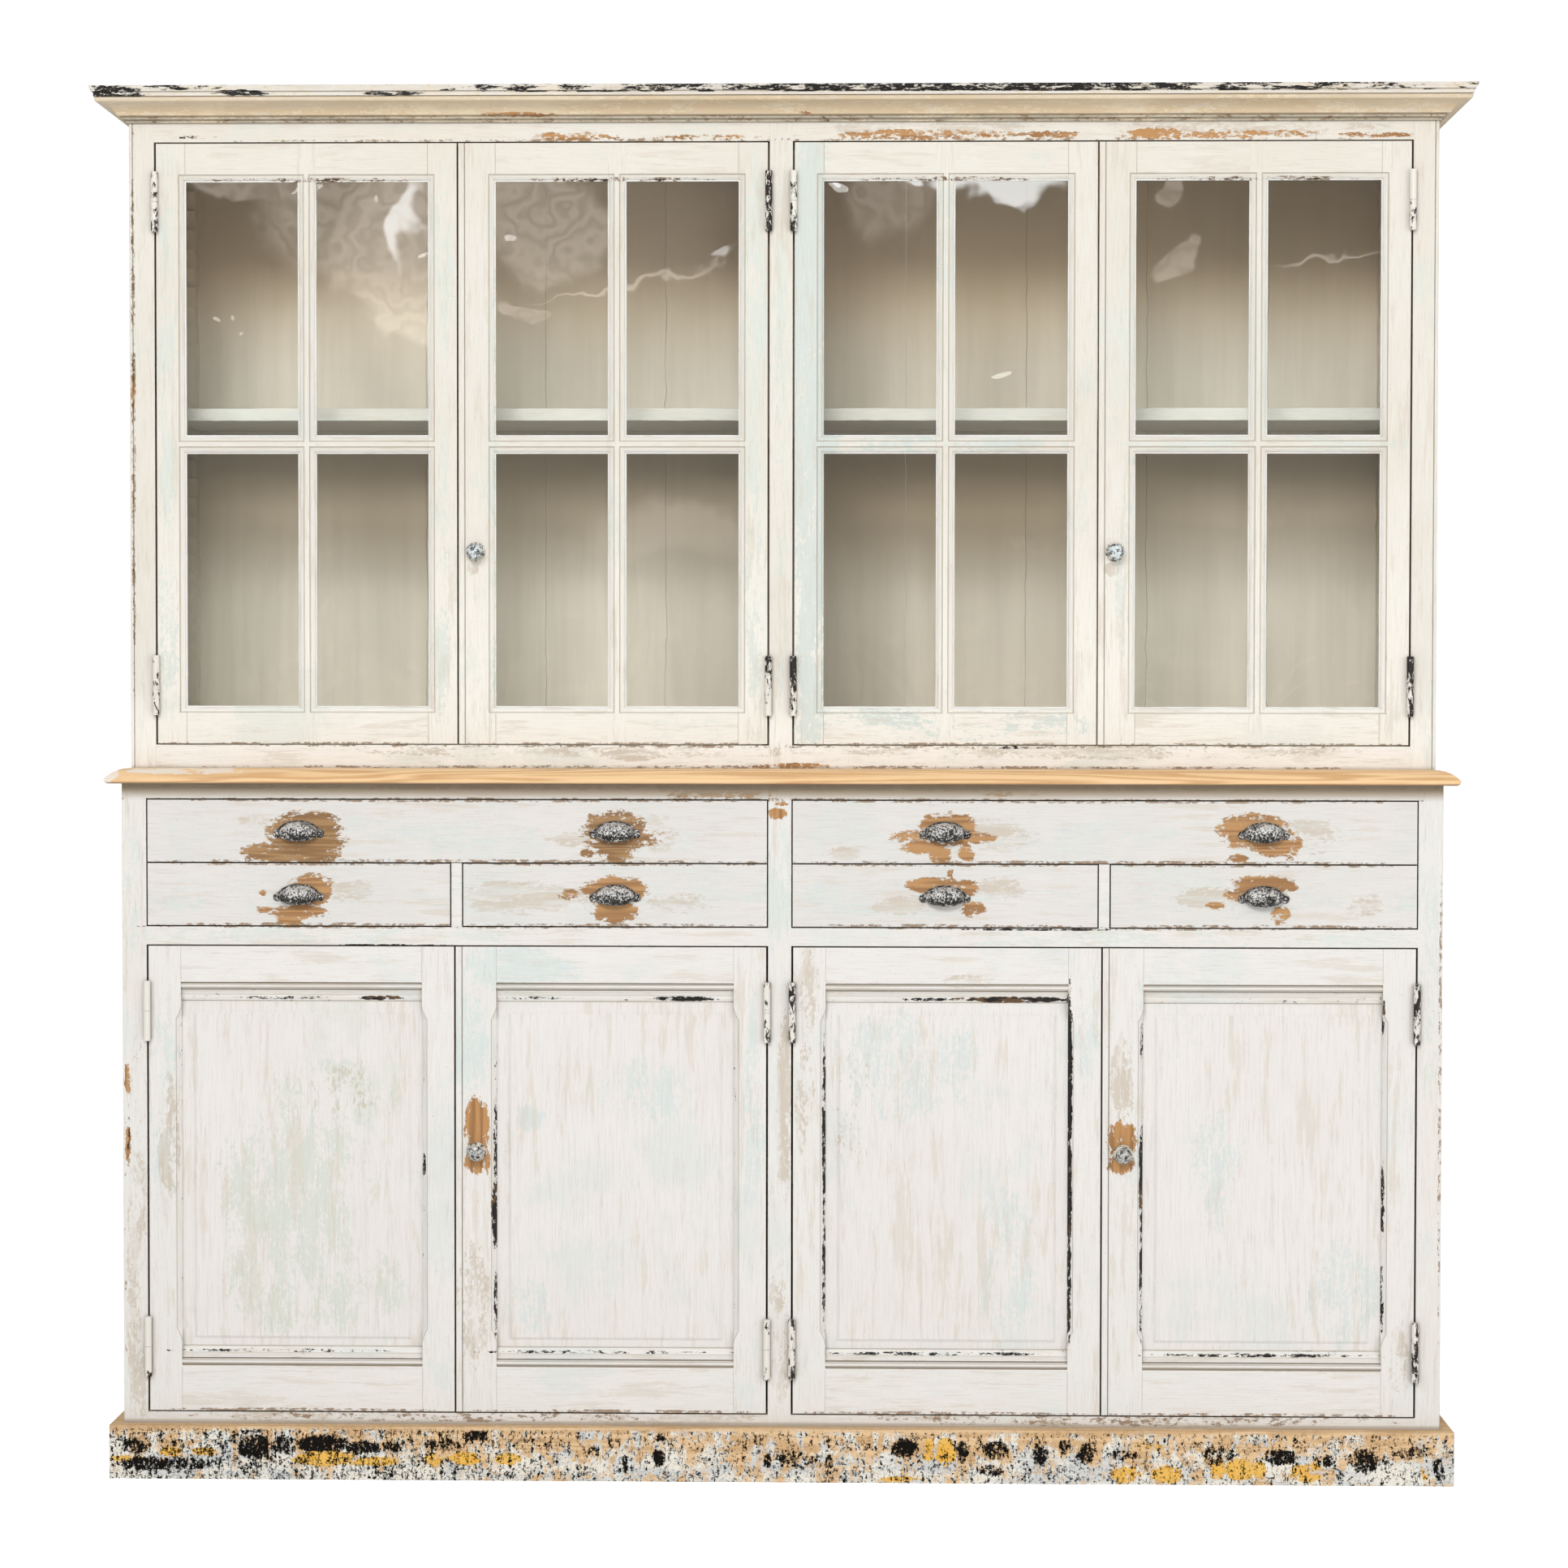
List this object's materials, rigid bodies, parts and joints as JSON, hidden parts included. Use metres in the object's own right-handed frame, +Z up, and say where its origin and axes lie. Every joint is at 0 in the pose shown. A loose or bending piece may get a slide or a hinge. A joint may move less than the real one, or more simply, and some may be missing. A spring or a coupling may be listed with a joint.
{
  "type": "dresser",
  "caption": "Painted glazed dresser in two cases: glass doors over a waxed worktop, drawers with cup pulls, panelled doors and a plinth.",
  "frame": {"origin": "on the floor, at the middle of the whole outline in plan", "axes": "+Z up, the doors and drawers look towards -Y, +X to the right seen from the front"},
  "size_m": [2.208, 0.446, 2.227],
  "materials": {
    "cream_painted_wood": "warm cream paint, brushed, chipped and rubbed to the wood",
    "white_painted_wood": "off-white paint, brushed, chipped and rubbed to the wood",
    "drawer_wood": "off-white painted front with bare pine round the pulls, bare pine box",
    "interior_painted_wood": "dull greige paint, rubbed dark near the shelf and the roof",
    "bare_pine": "unfinished pine, gone brown",
    "waxed_pine": "waxed honey pine",
    "painted_iron": "painted over with the case, chipped to black",
    "worn_knob_iron": "white paint worn to black and grey iron",
    "cast_pull_iron": "black with worn silver-white high spots",
    "old_glass": "clear old sheet glass, slightly wavy"
  },
  "bodies": {
    "root": {"cornice": "cream_painted_wood", "upper_face_frame": "cream_painted_wood", "upper_sides": "cream_painted_wood", "base_face_frame": "white_painted_wood", "base_sides": "white_painted_wood", "plinth": "white_painted_wood", "upper_partition": "interior_painted_wood", "upper_floor": "interior_painted_wood", "upper_roof": "interior_painted_wood", "upper_back": "interior_painted_wood", "upper_shelves": "interior_painted_wood", "shelf_racks": "interior_painted_wood", "shelf_bearers": "interior_painted_wood", "base_partition": "bare_pine", "base_floor": "bare_pine", "base_back": "bare_pine", "base_shelves": "bare_pine", "drawer_runners": "bare_pine", "worktop": "waxed_pine", "case_hinge_barrels": "painted_iron"},
    "glazed_door_1": {"glazed_door_1_frame": "cream_painted_wood", "glazed_door_1_glass": "old_glass", "glazed_door_1_hinges": "painted_iron"},
    "glazed_door_2": {"glazed_door_2_frame": "cream_painted_wood", "glazed_door_2_glass": "old_glass", "glazed_door_2_hinges": "painted_iron"},
    "glazed_door_2_latch": {"glazed_door_2_latch": "worn_knob_iron"},
    "glazed_door_3": {"glazed_door_3_frame": "cream_painted_wood", "glazed_door_3_glass": "old_glass", "glazed_door_3_hinges": "painted_iron"},
    "glazed_door_4": {"glazed_door_4_frame": "cream_painted_wood", "glazed_door_4_glass": "old_glass", "glazed_door_4_hinges": "painted_iron"},
    "glazed_door_4_latch": {"glazed_door_4_latch": "worn_knob_iron"},
    "panel_door_1": {"panel_door_1_frame": "white_painted_wood", "panel_door_1_panel": "white_painted_wood", "panel_door_1_hinges": "painted_iron"},
    "panel_door_2": {"panel_door_2_frame": "white_painted_wood", "panel_door_2_panel": "white_painted_wood", "panel_door_2_hinges": "painted_iron"},
    "panel_door_2_latch": {"panel_door_2_latch": "worn_knob_iron"},
    "panel_door_3": {"panel_door_3_frame": "white_painted_wood", "panel_door_3_panel": "white_painted_wood", "panel_door_3_hinges": "painted_iron"},
    "panel_door_4": {"panel_door_4_frame": "white_painted_wood", "panel_door_4_panel": "white_painted_wood", "panel_door_4_hinges": "painted_iron"},
    "panel_door_4_latch": {"panel_door_4_latch": "worn_knob_iron"},
    "long_drawer_left": {"long_drawer_left_box": "drawer_wood", "long_drawer_left_pulls": "cast_pull_iron"},
    "short_drawer_1": {"short_drawer_1_box": "drawer_wood", "short_drawer_1_pulls": "cast_pull_iron"},
    "short_drawer_2": {"short_drawer_2_box": "drawer_wood", "short_drawer_2_pulls": "cast_pull_iron"},
    "long_drawer_right": {"long_drawer_right_box": "drawer_wood", "long_drawer_right_pulls": "cast_pull_iron"},
    "short_drawer_3": {"short_drawer_3_box": "drawer_wood", "short_drawer_3_pulls": "cast_pull_iron"},
    "short_drawer_4": {"short_drawer_4_box": "drawer_wood", "short_drawer_4_pulls": "cast_pull_iron"}
  },
  "joints": [
    {"name": "glazed_door_1_swing", "type": "hinge", "parent": "root", "child": "glazed_door_1", "pos_m": [-1.008, -0.1478, 1.66025], "axis": [0, 0, -1], "range_deg": [0, 165]},
    {"name": "glazed_door_2_swing", "type": "hinge", "parent": "root", "child": "glazed_door_2", "pos_m": [-0.02, -0.1478, 1.66025], "axis": [0, 0, 1], "range_deg": [0, 88]},
    {"name": "glazed_door_2_latch_turn", "type": "hinge", "parent": "glazed_door_2", "child": "glazed_door_2_latch", "pos_m": [-0.492, -0.142, 1.487], "axis": [0, 1, 0], "range_deg": [0, 90]},
    {"name": "glazed_door_3_swing", "type": "hinge", "parent": "root", "child": "glazed_door_3", "pos_m": [0.02, -0.1478, 1.66025], "axis": [0, 0, -1], "range_deg": [0, 88]},
    {"name": "glazed_door_4_swing", "type": "hinge", "parent": "root", "child": "glazed_door_4", "pos_m": [1.008, -0.1478, 1.66025], "axis": [0, 0, 1], "range_deg": [0, 165]},
    {"name": "glazed_door_4_latch_turn", "type": "hinge", "parent": "glazed_door_4", "child": "glazed_door_4_latch", "pos_m": [0.536, -0.142, 1.487], "axis": [0, 1, 0], "range_deg": [0, 90]},
    {"name": "panel_door_1_swing", "type": "hinge", "parent": "root", "child": "panel_door_1", "pos_m": [-1.0135, -0.2028, 0.4806], "axis": [0, 0, -1], "range_deg": [0, 165]},
    {"name": "panel_door_2_swing", "type": "hinge", "parent": "root", "child": "panel_door_2", "pos_m": [-0.02, -0.2028, 0.4806], "axis": [0, 0, 1], "range_deg": [0, 88]},
    {"name": "panel_door_2_latch_turn", "type": "hinge", "parent": "panel_door_2", "child": "panel_door_2_latch", "pos_m": [-0.4855, -0.197, 0.5255], "axis": [0, 1, 0], "range_deg": [0, 90]},
    {"name": "panel_door_3_swing", "type": "hinge", "parent": "root", "child": "panel_door_3", "pos_m": [0.02, -0.2028, 0.4806], "axis": [0, 0, -1], "range_deg": [0, 88]},
    {"name": "panel_door_4_swing", "type": "hinge", "parent": "root", "child": "panel_door_4", "pos_m": [1.0135, -0.2028, 0.4806], "axis": [0, 0, 1], "range_deg": [0, 165]},
    {"name": "panel_door_4_latch_turn", "type": "hinge", "parent": "panel_door_4", "child": "panel_door_4_latch", "pos_m": [0.548, -0.197, 0.5255], "axis": [0, 1, 0], "range_deg": [0, 90]},
    {"name": "long_drawer_left_slide", "type": "slide", "parent": "root", "child": "long_drawer_left", "axis": [0, -1, 0], "range_m": [0, 0.3]},
    {"name": "short_drawer_1_slide", "type": "slide", "parent": "root", "child": "short_drawer_1", "axis": [0, -1, 0], "range_m": [0, 0.3]},
    {"name": "short_drawer_2_slide", "type": "slide", "parent": "root", "child": "short_drawer_2", "axis": [0, -1, 0], "range_m": [0, 0.3]},
    {"name": "long_drawer_right_slide", "type": "slide", "parent": "root", "child": "long_drawer_right", "axis": [0, -1, 0], "range_m": [0, 0.3]},
    {"name": "short_drawer_3_slide", "type": "slide", "parent": "root", "child": "short_drawer_3", "axis": [0, -1, 0], "range_m": [0, 0.3]},
    {"name": "short_drawer_4_slide", "type": "slide", "parent": "root", "child": "short_drawer_4", "axis": [0, -1, 0], "range_m": [0, 0.3]}
  ]
}
